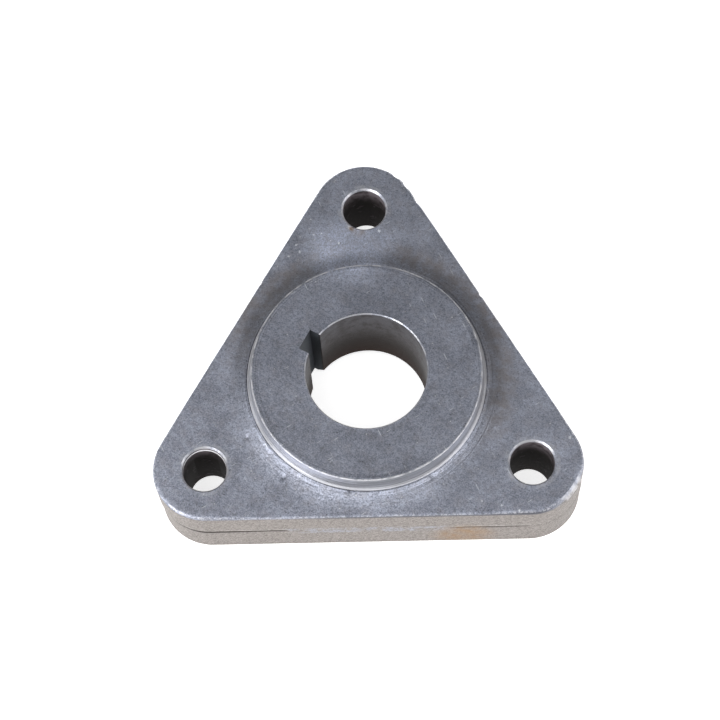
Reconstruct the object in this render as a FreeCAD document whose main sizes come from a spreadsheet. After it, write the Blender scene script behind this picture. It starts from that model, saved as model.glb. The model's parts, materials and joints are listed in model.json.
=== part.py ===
# Blade adapter for a mower spindle: one cast piece, a triangular flange with a low boss,
# a keyed bore through the middle, a bolt hole in each corner and a parting line round its rim.
# The bore axis is Z, the blade seats on the plane Z = 0, the first bolt hole lies on +X
# and the keyway faces -X.
import FreeCAD, Part
import Sketcher
import math
import os

NODE = "blade_adapter"
CORNERS = 3
CUT_OVERRUN = 1.0
TOLERANCE = 1e-4
START, END, CENTRE = range(1, 4)
H_AXIS, V_AXIS = range(-1, -3, -1)
ORIGIN = (H_AXIS, START)

# Driving dimensions in millimetres, the draft in degrees
SIZES = {
    "spindle_diameter": 25.4,
    "spindle_clearance": 0.02,
    "bore_mouth_chamfer": 0.3,
    "bore_back_chamfer": 1.6,
    "key_width": 4.76,
    "key_clearance": 0.02,
    "keyway_depth": 2.16,
    "flange_thickness": 18.0,
    "rim_round": 0.8,
    "back_edge_break": 0.2,
    "rim_flat": 0.16,
    "corner_easing": 0.3,
    "parting_height": 9.4,
    "parting_width": 0.2,
    "parting_depth": 0.12,
    "boss_height": 4.05,
    "boss_face_diameter": 47.7,
    "boss_edge_chamfer": 0.3,
    "boss_draft": 5.0,
    "foot_round": 0.7,
    "foot_rise": 0.2,
    "crease_width": 0.25,
    "crease_depth": 0.12,
    "blend_rise": 0.3,
    "blend_run": 4.29,
    "bolt_circle_diameter": 78.25,
    "bolt_diameter": 7.94,
    "bolt_clearance": 0.66,
    "bolt_mouth_round": 0.45,
}

# Sizes that follow from the driving dimensions
DERIVED = {
    "overall_height": "=sizes.flange_thickness + sizes.boss_height",
    "bore_radius": "=sizes.spindle_diameter / 2 + sizes.spindle_clearance",
    "keyway_width": "=sizes.key_width + 2 * sizes.key_clearance",
    "keyway_floor": "=bore_radius + sizes.keyway_depth",
    "bolt_circle_radius": "=sizes.bolt_circle_diameter / 2",
    "bolt_hole_radius": "=sizes.bolt_diameter / 2 + sizes.bolt_clearance",
    "boss_face_radius": "=sizes.boss_face_diameter / 2",
    "foot_level": "=sizes.flange_thickness + sizes.foot_rise",
    "wall_top_radius": "=boss_face_radius + sizes.boss_edge_chamfer",
    "wall_top_level": "=overall_height - sizes.boss_edge_chamfer",
    "wall_foot_level": "=foot_level + sizes.foot_round * (1 - sin(sizes.boss_draft * 1 deg))",
    "wall_run": "=(wall_top_level - wall_foot_level) * tan(sizes.boss_draft * 1 deg)",
    "foot_radius": "=wall_top_radius + wall_run + sizes.foot_round * cos(sizes.boss_draft * 1 deg)",
    "blend_inner": "=foot_radius + sizes.crease_width",
    "blend_outer": "=blend_inner + sizes.blend_run",
    "blend_level": "=sizes.flange_thickness + sizes.blend_rise",
    "blend_radius": "=(sizes.blend_run ^ 2 + sizes.blend_rise ^ 2) / (2 * sizes.blend_rise)",
    "side_distance": "=blend_outer + sizes.rim_flat + sizes.rim_round",
    "corner_radius": "=side_distance - bolt_circle_radius / 2 + sizes.corner_easing",
    "corner_centre": "=2 * (side_distance - corner_radius)",
    "parting_base": "=sizes.parting_height - sizes.parting_width / 2",
    "turning_reach": "=2 * side_distance",
}


def point(x, y):
    return FreeCAD.Vector(x, y, 0)


def polar(centre, radius, degrees):
    angle = math.radians(degrees)
    return centre + point(radius * math.cos(angle), radius * math.sin(angle))


def make_sheet(doc, name, cells):
    sheet = doc.addObject("Spreadsheet::Sheet", name)
    for row, (alias, content) in enumerate(cells.items(), 1):
        sheet.set("A%d" % row, alias.replace("_", " "))
        sheet.set("B%d" % row, str(content))
        sheet.setAlias("B%d" % row, alias)
    doc.recompute()
    return sheet


def make_sketch(body, name, role):
    plane = next(item for item in body.Origin.OriginFeatures if item.Role == role)
    sketch = body.newObject("Sketcher::SketchObject", name)
    sketch.AttachmentSupport = [(plane, "")]
    sketch.MapMode = "FlatFace"
    return sketch


def add_line(sketch, start, end):
    return sketch.addGeometry(Part.LineSegment(start, end))


def add_arc(sketch, centre, radius, start_degrees, end_degrees):
    circle = Part.Circle(centre, FreeCAD.Vector(0, 0, 1), radius)
    arc = Part.ArcOfCircle(circle, math.radians(start_degrees), math.radians(end_degrees))
    return sketch.addGeometry(arc)


def relate(sketch, kind, *places):
    sketch.addConstraint(Sketcher.Constraint(kind, *places))


def size(sketch, name, text, kind, *places):
    """Add a sized constraint and tie it to an expression."""
    index = sketch.addConstraint(Sketcher.Constraint(kind, *places))
    sketch.renameConstraint(index, name)
    sketch.setExpression("Constraints." + name, text)


def cut(body, kind, name, sketch):
    """Start a cut on the sketch; finish_cut tests that it removed something."""
    feature = body.newObject("PartDesign::" + kind, name)
    feature.Profile = sketch
    return feature


def finish_cut(doc, feature):
    doc.recompute()
    if feature.Shape.Volume > feature.BaseFeature.Shape.Volume - TOLERANCE:
        raise RuntimeError(feature.Name + " cut nothing")


def turned_cut(doc, body, name, sketch, axis):
    feature = cut(body, "Groove", name, sketch)
    feature.ReferenceAxis = (sketch, [axis])
    feature.Angle = 360
    finish_cut(doc, feature)
    return feature


def draw_outline(sketch, derived, inset=0, inset_text=""):
    """Triangle with rounded corners: three equal arcs and the three lines tangent to them."""
    step = 360 / CORNERS
    side = derived.side_distance - inset
    radius = derived.corner_radius - inset
    arcs = []
    for corner in range(CORNERS):
        middle = corner * step
        centre = polar(point(0, 0), derived.corner_centre, middle)
        arcs.append(add_arc(sketch, centre, radius, middle - step / 2, middle + step / 2))
    following = arcs[1:] + arcs[:1]
    lines = []
    for arc, after in zip(arcs, following):
        lines.append(add_line(sketch, sketch.getPoint(arc, END), sketch.getPoint(after, START)))
    for arc, line, after in zip(arcs, lines, following):
        relate(sketch, "Tangent", arc, END, line, START)
        relate(sketch, "Tangent", line, END, after, START)
    for number, line in enumerate(lines, 1):
        size(sketch, "side_%d" % number, "derived.side_distance" + inset_text,
             "Distance", *ORIGIN, line, side)
    size(sketch, "corner_radius", "derived.corner_radius" + inset_text, "Radius", arcs[0], radius)
    keyway_side = lines[1]
    relate(sketch, "Vertical", keyway_side)
    for other in (lines[0], lines[2]):
        relate(sketch, "Equal", keyway_side, other)
    for other in arcs[1:]:
        relate(sketch, "Equal", arcs[0], other)


def make_flange(doc, body, derived):
    """Pad of the full height, before the boss is cut out of it."""
    sketch = make_sketch(body, "flange_outline", "XY_Plane")
    draw_outline(sketch, derived)
    pad = body.newObject("PartDesign::Pad", "flange")
    pad.Profile = sketch
    pad.setExpression("Length", "derived.overall_height")
    doc.recompute()


def draw_boss_cut(sketch, sizes, derived):
    """Half section of what is cut away round the boss, from its top edge down its drafted wall,
    over the foot and the crease and out along the blend to the flat of the flange."""
    top = derived.overall_height
    draft = sizes.boss_draft
    face_edge = point(derived.boss_face_radius, top)
    wall_top = point(derived.wall_top_radius, derived.wall_top_level)
    foot_centre = point(derived.foot_radius, derived.foot_level + sizes.foot_round)
    foot_end = point(derived.foot_radius, derived.foot_level)
    crease = foot_end + point(sizes.crease_width / 2, -sizes.crease_depth)
    blend_start = point(derived.blend_inner, derived.blend_level)
    blend_end = point(derived.blend_outer, sizes.flange_thickness)
    blend_centre = blend_end + point(0, derived.blend_radius)
    blend_angle = math.degrees(math.asin(sizes.blend_run / derived.blend_radius))
    flat_end = point(derived.turning_reach, sizes.flange_thickness)
    outer_top = point(derived.turning_reach, top + CUT_OVERRUN)
    inner_top = point(derived.boss_face_radius, top + CUT_OVERRUN)
    wall_foot = polar(foot_centre, sizes.foot_round, 180 + draft)

    edge = add_line(sketch, wall_top, face_edge)
    wall = add_line(sketch, wall_foot, wall_top)
    foot = add_arc(sketch, foot_centre, sizes.foot_round, 180 + draft, 270)
    fall = add_line(sketch, foot_end, crease)
    climb = add_line(sketch, crease, blend_start)
    blend = add_arc(sketch, blend_centre, derived.blend_radius, 270 - blend_angle, 270)
    flat = add_line(sketch, blend_end, flat_end)
    outer = add_line(sketch, flat_end, outer_top)
    cover = add_line(sketch, outer_top, inner_top)
    inner = add_line(sketch, inner_top, face_edge)

    relate(sketch, "Tangent", wall, START, foot, START)
    for first, second in ((wall, edge), (foot, fall), (fall, climb), (climb, blend), (blend, flat),
                          (flat, outer), (outer, cover), (cover, inner)):
        relate(sketch, "Coincident", first, END, second, START)
    relate(sketch, "Coincident", inner, END, edge, END)
    for arc in (foot, blend):
        relate(sketch, "Vertical", arc, CENTRE, arc, END)
    for line in (flat, cover):
        relate(sketch, "Horizontal", line)
    for line in (outer, inner):
        relate(sketch, "Vertical", line)
    relate(sketch, "DistanceY", edge, END, inner, START, CUT_OVERRUN)

    size(sketch, "face_radius", "derived.boss_face_radius",
         "DistanceX", *ORIGIN, edge, END, derived.boss_face_radius)
    size(sketch, "top", "derived.overall_height", "DistanceY", *ORIGIN, edge, END, top)
    size(sketch, "edge_across", "sizes.boss_edge_chamfer",
         "DistanceX", edge, END, edge, START, sizes.boss_edge_chamfer)
    size(sketch, "edge_along", "sizes.boss_edge_chamfer",
         "DistanceY", edge, START, edge, END, sizes.boss_edge_chamfer)
    size(sketch, "wall_angle", "(90 + sizes.boss_draft) * 1 deg",
         "Angle", wall, math.radians(90 + draft))
    size(sketch, "foot_round", "sizes.foot_round", "Radius", foot, sizes.foot_round)
    size(sketch, "foot_level", "derived.foot_level", "DistanceY", *ORIGIN, foot, END, derived.foot_level)
    size(sketch, "crease_half", "sizes.crease_width / 2",
         "DistanceX", fall, START, fall, END, sizes.crease_width / 2)
    size(sketch, "crease_depth", "sizes.crease_depth",
         "DistanceY", fall, END, fall, START, sizes.crease_depth)
    size(sketch, "crease_width", "sizes.crease_width",
         "DistanceX", fall, START, climb, END, sizes.crease_width)
    size(sketch, "blend_level", "derived.blend_level",
         "DistanceY", *ORIGIN, climb, END, derived.blend_level)
    size(sketch, "blend_run", "sizes.blend_run", "DistanceX", blend, START, blend, END, sizes.blend_run)
    size(sketch, "flat_level", "sizes.flange_thickness",
         "DistanceY", *ORIGIN, blend, END, sizes.flange_thickness)
    size(sketch, "reach", "derived.turning_reach",
         "DistanceX", *ORIGIN, flat, END, derived.turning_reach)


def cut_boss(doc, body, sizes, derived):
    sketch = make_sketch(body, "boss_section", "XZ_Plane")
    draw_boss_cut(sketch, sizes, derived)
    turned_cut(doc, body, "boss", sketch, "V_Axis")


def rim_edges(shape, height, reach):
    """Names of the edges at one height that lie no nearer to the axis than the flange's sides."""
    names = []
    for number, edge in enumerate(shape.Edges, 1):
        spots = edge.discretize(9)
        level = all(abs(spot.z - height) < TOLERANCE for spot in spots)
        outside = all(math.hypot(spot.x, spot.y) > reach - TOLERANCE for spot in spots)
        if level and outside:
            names.append("Edge%d" % number)
    return names


def ease_rim(doc, body, sizes, derived):
    """Round the rim where it meets the cast front, and break its edge round the machined back."""
    base = body.Tip
    fillet = body.newObject("PartDesign::Fillet", "rim_round")
    fillet.Base = (base, rim_edges(base.Shape, sizes.flange_thickness, derived.side_distance))
    fillet.setExpression("Radius", "sizes.rim_round")
    doc.recompute()
    chamfer = body.newObject("PartDesign::Chamfer", "back_edge_break")
    chamfer.Base = (fillet, rim_edges(fillet.Shape, 0, derived.side_distance))
    chamfer.setExpression("Size", "sizes.back_edge_break")
    doc.recompute()


def cut_parting_line(doc, body, sizes, derived):
    """Fine groove round the rim, where the two halves of the mould met."""
    sketch = make_sketch(body, "parting_outline", "XY_Plane")
    sketch.setExpression("AttachmentOffset.Base.z", "derived.parting_base")
    draw_outline(sketch, derived, sizes.parting_depth, " - sizes.parting_depth")
    circle = Part.Circle(point(0, 0), FreeCAD.Vector(0, 0, 1), derived.turning_reach)
    reach = sketch.addGeometry(circle)
    relate(sketch, "Coincident", reach, CENTRE, *ORIGIN)
    size(sketch, "reach", "derived.turning_reach", "Radius", reach, derived.turning_reach)
    groove = cut(body, "Pocket", "parting_line", sketch)
    groove.Reversed = True
    groove.setExpression("Length", "sizes.parting_width")
    finish_cut(doc, groove)


def draw_bore(sketch, sizes, derived):
    """Half section of the bore, chamfered where the spindle enters at each end."""
    top = derived.overall_height
    wall = derived.bore_radius
    back = wall + sizes.bore_back_chamfer
    mouth = wall + sizes.bore_mouth_chamfer
    corners = [
        point(0, -CUT_OVERRUN),
        point(back, -CUT_OVERRUN),
        point(back, 0),
        point(wall, sizes.bore_back_chamfer),
        point(wall, top - sizes.bore_mouth_chamfer),
        point(mouth, top),
        point(mouth, top + CUT_OVERRUN),
        point(0, top + CUT_OVERRUN),
    ]
    lines = [add_line(sketch, *pair) for pair in zip(corners, corners[1:] + corners[:1])]
    for first, second in zip(lines, lines[1:] + lines[:1]):
        relate(sketch, "Coincident", first, END, second, START)
    below, back_side, back_slope, side, mouth_slope, mouth_side, above, axis = lines
    for line in (below, above):
        relate(sketch, "Horizontal", line)
    for line in (back_side, side, mouth_side):
        relate(sketch, "Vertical", line)
    for end in (START, END):
        relate(sketch, "PointOnObject", axis, end, V_AXIS)
    relate(sketch, "PointOnObject", back_side, END, H_AXIS)
    relate(sketch, "DistanceY", back_side, START, back_side, END, CUT_OVERRUN)
    relate(sketch, "DistanceY", mouth_side, START, mouth_side, END, CUT_OVERRUN)
    size(sketch, "bore_radius", "derived.bore_radius", "DistanceX", *ORIGIN, side, START, wall)
    size(sketch, "top", "derived.overall_height", "DistanceY", *ORIGIN, mouth_slope, END, top)
    for slope, name in ((back_slope, "bore_back_chamfer"), (mouth_slope, "bore_mouth_chamfer")):
        chamfer = getattr(sizes, name)
        across = (slope, END, slope, START) if slope == back_slope else (slope, START, slope, END)
        size(sketch, name + "_across", "sizes." + name, "DistanceX", *across, chamfer)
        size(sketch, name + "_along", "sizes." + name, "DistanceY", slope, START, slope, END, chamfer)


def cut_bore(doc, body, sizes, derived):
    sketch = make_sketch(body, "bore_section", "XZ_Plane")
    draw_bore(sketch, sizes, derived)
    turned_cut(doc, body, "bore", sketch, "V_Axis")


def draw_bolt_hole(sketch, sizes, derived):
    """Half section of the bolt hole on +X, with a rounded mouth and a sharp back edge."""
    axis = derived.bolt_circle_radius
    wall = axis + derived.bolt_hole_radius
    level = sizes.flange_thickness
    mouth = sizes.bolt_mouth_round
    cover_level = level + CUT_OVERRUN
    centre_line = add_line(sketch, point(axis, 0), point(axis, level))
    sketch.setConstruction(centre_line, True)
    below = add_line(sketch, point(axis, -CUT_OVERRUN), point(wall, -CUT_OVERRUN))
    side = add_line(sketch, point(wall, -CUT_OVERRUN), point(wall, level - mouth))
    lip = add_arc(sketch, point(wall + mouth, level - mouth), mouth, 90, 180)
    outer = add_line(sketch, point(wall + mouth, level), point(wall + mouth, cover_level))
    cover = add_line(sketch, point(wall + mouth, cover_level), point(axis, cover_level))
    middle = add_line(sketch, point(axis, cover_level), point(axis, -CUT_OVERRUN))

    for first, second in ((below, side), (outer, cover), (cover, middle), (middle, below)):
        relate(sketch, "Coincident", first, END, second, START)
    relate(sketch, "Tangent", side, END, lip, END)
    relate(sketch, "Coincident", lip, START, outer, START)
    relate(sketch, "Vertical", lip, CENTRE, lip, START)
    for line in (below, cover):
        relate(sketch, "Horizontal", line)
    for line in (centre_line, side, outer, middle):
        relate(sketch, "Vertical", line)
    relate(sketch, "PointOnObject", centre_line, START, H_AXIS)
    relate(sketch, "PointOnObject", centre_line, START, middle)
    relate(sketch, "DistanceY", below, START, *ORIGIN, CUT_OVERRUN)
    relate(sketch, "DistanceY", outer, START, outer, END, CUT_OVERRUN)
    size(sketch, "line_top", "sizes.flange_thickness",
         "DistanceY", centre_line, START, centre_line, END, level)
    size(sketch, "circle_radius", "derived.bolt_circle_radius", "DistanceX", *ORIGIN, below, START, axis)
    size(sketch, "hole_radius", "derived.bolt_hole_radius",
         "DistanceX", below, START, below, END, derived.bolt_hole_radius)
    size(sketch, "mouth_level", "sizes.flange_thickness", "DistanceY", *ORIGIN, lip, START, level)
    size(sketch, "mouth_round", "sizes.bolt_mouth_round", "Radius", lip, mouth)


def cut_bolt_holes(doc, body, sizes, derived):
    sketch = make_sketch(body, "bolt_hole_section", "XZ_Plane")
    draw_bolt_hole(sketch, sizes, derived)
    hole = turned_cut(doc, body, "bolt_hole", sketch, "Axis0")
    pattern = body.newObject("PartDesign::PolarPattern", "bolt_holes")
    pattern.Originals = [hole]
    pattern.Axis = (doc.getObject("flange_outline"), ["N_Axis"])
    pattern.Angle = 360
    pattern.Occurrences = CORNERS
    body.Tip = pattern
    finish_cut(doc, pattern)


def draw_keyway(sketch, derived):
    """Slot from the bore axis to the keyway floor, square at its corners."""
    half = derived.keyway_width / 2
    floor = -derived.keyway_floor
    corners = [point(floor, -half), point(0, -half), point(0, half), point(floor, half)]
    lines = [add_line(sketch, *pair) for pair in zip(corners, corners[1:] + corners[:1])]
    for first, second in zip(lines, lines[1:] + lines[:1]):
        relate(sketch, "Coincident", first, END, second, START)
    near, middle, far, back = lines
    for line in (near, far):
        relate(sketch, "Horizontal", line)
    relate(sketch, "Vertical", back)
    for end in (START, END):
        relate(sketch, "PointOnObject", middle, end, V_AXIS)
    size(sketch, "keyway_width", "derived.keyway_width",
         "DistanceY", middle, START, middle, END, derived.keyway_width)
    size(sketch, "keyway_half", "derived.keyway_width / 2", "DistanceY", *ORIGIN, middle, END, half)
    size(sketch, "keyway_floor", "derived.keyway_floor",
         "DistanceX", near, START, near, END, derived.keyway_floor)


def cut_keyway(doc, body, derived):
    sketch = make_sketch(body, "keyway_outline", "XY_Plane")
    draw_keyway(sketch, derived)
    keyway = cut(body, "Pocket", "keyway", sketch)
    keyway.Type = "ThroughAll"
    keyway.Reversed = True
    body.Tip = keyway
    finish_cut(doc, keyway)


def check(doc, body):
    """Stop before anything is written if a feature failed or the piece isn't one sound solid."""
    for item in doc.Objects:
        if {"Invalid", "Error"} & set(item.State):
            raise RuntimeError(item.Name + " failed: " + ", ".join(item.State))
        if item.TypeId == "Sketcher::SketchObject" and not item.FullyConstrained:
            raise RuntimeError(item.Name + " isn't fully constrained")
    shape = body.Shape
    if shape.isNull() or not shape.isValid() or len(shape.Solids) != 1:
        raise RuntimeError(body.Label + " isn't one valid solid")


def main():
    doc = FreeCAD.newDocument(NODE)
    sizes = make_sheet(doc, "sizes", SIZES)
    derived = make_sheet(doc, "derived", DERIVED)
    body = doc.addObject("PartDesign::Body", NODE)
    body.Label = NODE
    body.Placement = FreeCAD.Placement()

    make_flange(doc, body, derived)
    cut_boss(doc, body, sizes, derived)
    ease_rim(doc, body, sizes, derived)
    cut_parting_line(doc, body, sizes, derived)
    cut_bore(doc, body, sizes, derived)
    cut_bolt_holes(doc, body, sizes, derived)
    cut_keyway(doc, body, derived)

    check(doc, body)
    os.makedirs("parts", exist_ok=True)
    body.Shape.exportStep("parts/" + body.Label + ".step")
    box = body.Shape.optimalBoundingBox(False)
    print("size %.2f x %.2f x %.2f mm" % (box.XLength, box.YLength, box.ZLength))
    print("volume %.1f mm3" % body.Shape.Volume)


main()
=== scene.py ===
import json
import math

import bmesh
import bpy
from mathutils import Matrix, Vector


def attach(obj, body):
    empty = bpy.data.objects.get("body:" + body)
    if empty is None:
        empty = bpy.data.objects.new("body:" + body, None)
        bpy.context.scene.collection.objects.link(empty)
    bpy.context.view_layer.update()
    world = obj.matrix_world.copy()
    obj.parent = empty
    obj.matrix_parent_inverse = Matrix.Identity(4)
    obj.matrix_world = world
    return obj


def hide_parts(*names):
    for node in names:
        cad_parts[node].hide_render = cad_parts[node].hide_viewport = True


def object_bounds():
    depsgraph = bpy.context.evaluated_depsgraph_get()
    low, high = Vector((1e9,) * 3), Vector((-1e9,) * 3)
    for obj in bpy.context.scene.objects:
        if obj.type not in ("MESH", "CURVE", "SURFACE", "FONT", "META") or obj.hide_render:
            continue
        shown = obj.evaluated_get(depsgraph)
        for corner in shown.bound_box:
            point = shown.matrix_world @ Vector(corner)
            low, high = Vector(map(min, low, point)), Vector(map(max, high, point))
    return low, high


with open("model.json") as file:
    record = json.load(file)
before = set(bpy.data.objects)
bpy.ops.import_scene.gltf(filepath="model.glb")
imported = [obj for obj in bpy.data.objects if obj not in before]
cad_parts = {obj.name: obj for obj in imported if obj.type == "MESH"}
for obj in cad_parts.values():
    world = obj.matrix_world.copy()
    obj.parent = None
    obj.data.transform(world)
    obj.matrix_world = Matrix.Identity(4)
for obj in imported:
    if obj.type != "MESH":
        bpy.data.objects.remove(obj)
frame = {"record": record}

cadLow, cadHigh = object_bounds()
mm = 0.001
hair = mm / 100             # a gap too small to see
print("frame loaded, CAD box", tuple(cadLow), tuple(cadHigh))

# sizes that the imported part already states
mounts = {mount["name"]: mount["dims"] for mount in frame["record"]["mounts"]}
boreRadius = mounts["spindle_bore"]["r_mm"] * mm
boltCircle = mounts["blade_bolts"]["pcd_mm"] / 2 * mm
boltCount = mounts["blade_bolts"]["count"]
boltHole = mounts["blade_bolts"]["hole_r_mm"] * mm
sector = 2 * math.pi / boltCount        # from one bolt hole to the next
sideDistance = -cadLow.x
bossTop = cadHigh.z - hair
cornerRadius = 2 * sideDistance - cadHigh.x
cornerCentre = cadHigh.x - cornerRadius


def deselectAll():
    if bpy.context.object and bpy.context.object.mode != "OBJECT":
        bpy.ops.object.mode_set(mode="OBJECT")
    bpy.ops.object.select_all(action="DESELECT")


def activate(piece):
    deselectAll()
    piece.select_set(True)
    bpy.context.view_layer.objects.active = piece


# selects points or faces of the active piece by a test and leaves it in edit mode
def pick(piece, kind, test):
    bpy.ops.object.mode_set(mode="EDIT")
    bpy.ops.mesh.select_mode(type=kind)
    bpy.ops.mesh.select_all(action="DESELECT")
    bpy.ops.object.mode_set(mode="OBJECT")
    for item in piece.data.vertices if kind == "VERT" else piece.data.polygons:
        item.select = test(item)
    bpy.ops.object.mode_set(mode="EDIT")


def applyAll(piece):
    activate(piece)
    for modifier in list(piece.modifiers):
        bpy.ops.object.modifier_apply(modifier=modifier.name)


def turned(angle):
    return Vector((math.cos(angle), math.sin(angle), 0))


def arcPoints(centre, radius, startDegrees, endDegrees, count):
    points = []
    for step in range(count + 1):
        angle = math.radians(startDegrees + (endDegrees - startDegrees) * step / count)
        points.append((centre[0] + radius * math.cos(angle), centre[1] + radius * math.sin(angle)))
    return points


def linePoints(start, end, count):
    points = []
    for step in range(1, count + 1):
        share = step / count
        points.append((start[0] + (end[0] - start[0]) * share, start[1] + (end[1] - start[1]) * share))
    return points


casting = {
    "steps": 480,               # faces round the axis
    "flangeTop": 18.0 * mm,
    "rimRound": 0.8 * mm,
    "backEdge": 0.2 * mm,
    "mouthChamfer": 0.22 * mm,
    "backChamfer": 1.6 * mm,
    "bossFace": 24.0 * mm,
    "bossEdge": 0.17 * mm,
    "bossDraft": 7.0,           # degrees
    "footRound": 0.55 * mm,
    "footRise": 0.47 * mm,
    "creaseWidth": 0.25 * mm,
    "creaseDepth": 0.04 * mm,
    "blendRise": 0.03 * mm,
    "blendRun": 4.3 * mm,
    "crownSlope": 8.2,          # degrees, where the flange rises gently towards the boss
    "crownRun": 5.0 * mm,
    "partingHeight": 9.4 * mm,
    "partingHalf": 0.34 * mm,
    "partingDepth": 0.32 * mm,
    "dressedHalf": 17.5 * mm,   # the middle of each side, where the parting line was dressed flush
    "dressedSeam": 0.08,        # of the depth, there
    "cornerSeam": 0.45,         # of the depth, round the corner on +X
    "seamEnd": 43.5 * mm,       # on +X, where the parting line fades
    "fadedSeam": 0.15,          # of the depth, beyond that
    "mouldShift": 30.0,         # degrees, the way the lower half of the mould slipped
    "upperSlip": -0.06 * mm,
    "lowerSlip": 0.1 * mm,
    "upperInset": 0.06 * mm,
    "lowerInset": 0.095 * mm,
    "waveSize": 7.0 * mm,
    "waveDepth": 0.06 * mm,
    "rippleSize": 1.6 * mm,
    "rippleDepth": 0.025 * mm,
    "waveDetail": 2,
    "turnedWaves": 0.25,        # of the waves, on the wall of the boss
    "turnedInside": 1.0 * mm,   # how far that goes in from the edge of its face
    "turnedOutside": 0.5 * mm,  # and out from the crease
    "overshoot": 1.0 * mm,      # of the cutters
    "keyHalf": 2.4 * mm,
    "keyFloor": 14.88 * mm,
    "holeMouth": 0.52 * mm,
    "mouthEasing": 0.15 * mm,   # radius between the wall of a hole and the slope of its mouth
    "holeSteps": 96,
    "drillTurn": 1.3,           # degrees, so that no edge of a drill meets an edge of the flange
    "lipLevel": 17.05 * mm,
    "lipRun": 0.2 * mm,
    "lipTurn": 121.0,           # degrees, the side of a hole where a lip is left
    "lips": (0.0, 0.04 * mm, 0.24 * mm),    # how far it stands into each hole
    "wornTurn": -8.0,           # degrees round the corner on +X, where its edge was rubbed flat
    "wornHalf": 30.0,           # degrees to either side, where the wear ends
    "wornGrowth": 0.5,          # of the edge
    "sideEdge": 0.6,            # of the edge, along the straight sides
    "edgeChange": (0.78, 0.9),  # of the longest reach, where it grows to the edge of the corners
    "dentDepth": 0.4 * mm,
    "smoothAngle": 36.0,
    # rows of faces along each stretch of the section
    "chamferRows": 3,
    "boreRows": 24,
    "mouthRows": 2,
    "faceRows": 18,
    "edgeRows": 5,
    "bossRows": 5,
    "footRows": 7,
    "blendRows": 9,
    "topRows": 28,
    "rimRows": 8,
    "wallRows": 11,             # in each half of the mould
    "backRows": 20,
    "flareRows": 3,             # in the easing of a hole
}

# small knocks in the skin: x, y, z and radius in millimetres, share of the full depth
dents = [
    (-15.4, -23.7, 18.0, 0.5, 0.5),
    (-4.4, -27.5, 18.1, 0.6, 0.6),
    (9.4, -23.7, 18.4, 0.5, 0.5),
    (22.2, -12.8, 18.4, 0.5, 0.5),
    (-17.4, 44.7, 17.4, 1.1, 0.8),
    (-14.6, 43.2, 17.4, 1.2, 0.8),
    (-10.4, 41.4, 17.4, 1.0, 0.7),
    (-20.4, 28.7, 17.8, 0.5, 0.6),
    (44.9, -11.2, 17.6, 0.6, 0.6),
    (31.0, -19.4, 17.6, 0.5, 0.6),
    (20.1, -25.6, 17.6, 0.5, 0.5),
    (-2.0, -38.4, 17.6, 0.6, 0.6),
    (-30.2, 8.0, 17.6, 0.6, 0.5),
    (12.0, 28.2, 17.6, 0.6, 0.6),
]


# half section of everything that was turned or cored round the axis, from the back chamfer
# up the bore, over the boss and down to the flat of the flange
def turnedSection():
    c = casting
    footLevel = c["flangeTop"] + c["footRise"]
    draft = math.radians(c["bossDraft"])
    rounds = c["bossEdge"] + c["footRound"]
    wallReach = (bossTop - footLevel - rounds) * math.sin(draft)
    footRadius = c["bossFace"] + (rounds + wallReach) / math.cos(draft)
    blendInner = footRadius + c["creaseWidth"]
    blendRadius = (c["blendRun"] ** 2 + c["blendRise"] ** 2) / (2 * c["blendRise"])
    blendTurn = math.degrees(math.asin(c["blendRun"] / blendRadius))
    backEdge = (boreRadius + c["backChamfer"], 0)
    backEnd = (boreRadius, c["backChamfer"])
    mouthStart = (boreRadius, bossTop - c["mouthChamfer"])
    mouthEnd = (boreRadius + c["mouthChamfer"], bossTop)
    edge = arcPoints((c["bossFace"], bossTop - c["bossEdge"]), c["bossEdge"],
                     90, c["bossDraft"], c["edgeRows"])
    foot = arcPoints((footRadius, footLevel + c["footRound"]), c["footRound"],
                     180 + c["bossDraft"], 270, c["footRows"])
    crease = (footRadius + c["creaseWidth"] / 2, footLevel - c["creaseDepth"])
    blendCentre = (blendInner + c["blendRun"], c["flangeTop"] + blendRadius)
    section = [backEdge]
    section += linePoints(backEdge, backEnd, c["chamferRows"])
    section += linePoints(backEnd, mouthStart, c["boreRows"])
    section += linePoints(mouthStart, mouthEnd, c["mouthRows"])
    section += linePoints(mouthEnd, edge[0], c["faceRows"])
    section += edge[1:]
    section += linePoints(edge[-1], foot[0], c["bossRows"])
    section += foot[1:]
    section.append(crease)
    for reach, level in arcPoints(blendCentre, blendRadius, 270 - blendTurn, 270, c["blendRows"]):
        section.append((reach, level + crown(reach, blendInner)))
    return section


# height that the crown of the flange adds at a distance from the axis
def crown(reach, inner):
    share = min(1, (reach - inner) / casting["crownRun"])
    slope = math.tan(math.radians(casting["crownSlope"]))
    return slope * casting["crownRun"] * (2 / 3 - share + share ** 3 / 3)


def makeTurnedSurface():
    section = turnedSection()
    deselectAll()
    bpy.ops.mesh.primitive_plane_add(size=mm)
    piece = bpy.context.object
    bpy.ops.object.mode_set(mode="EDIT")
    bpy.ops.mesh.merge(type="CENTER")
    bpy.ops.transform.translate(value=(section[0][0], 0, section[0][1]))
    for (fromReach, fromLevel), (reach, level) in zip(section, section[1:]):
        step = (reach - fromReach, 0, level - fromLevel)
        bpy.ops.mesh.extrude_region_move(TRANSFORM_OT_translate={"value": step})
    bpy.ops.object.mode_set(mode="OBJECT")
    lathe = piece.modifiers.new("lathe", "SCREW")
    lathe.axis = "Z"
    lathe.steps = casting["steps"]
    lathe.render_steps = casting["steps"]
    lathe.use_merge_vertices = True
    lathe.merge_threshold = hair / 10
    applyAll(piece)
    return piece, section[-1][0]


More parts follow.
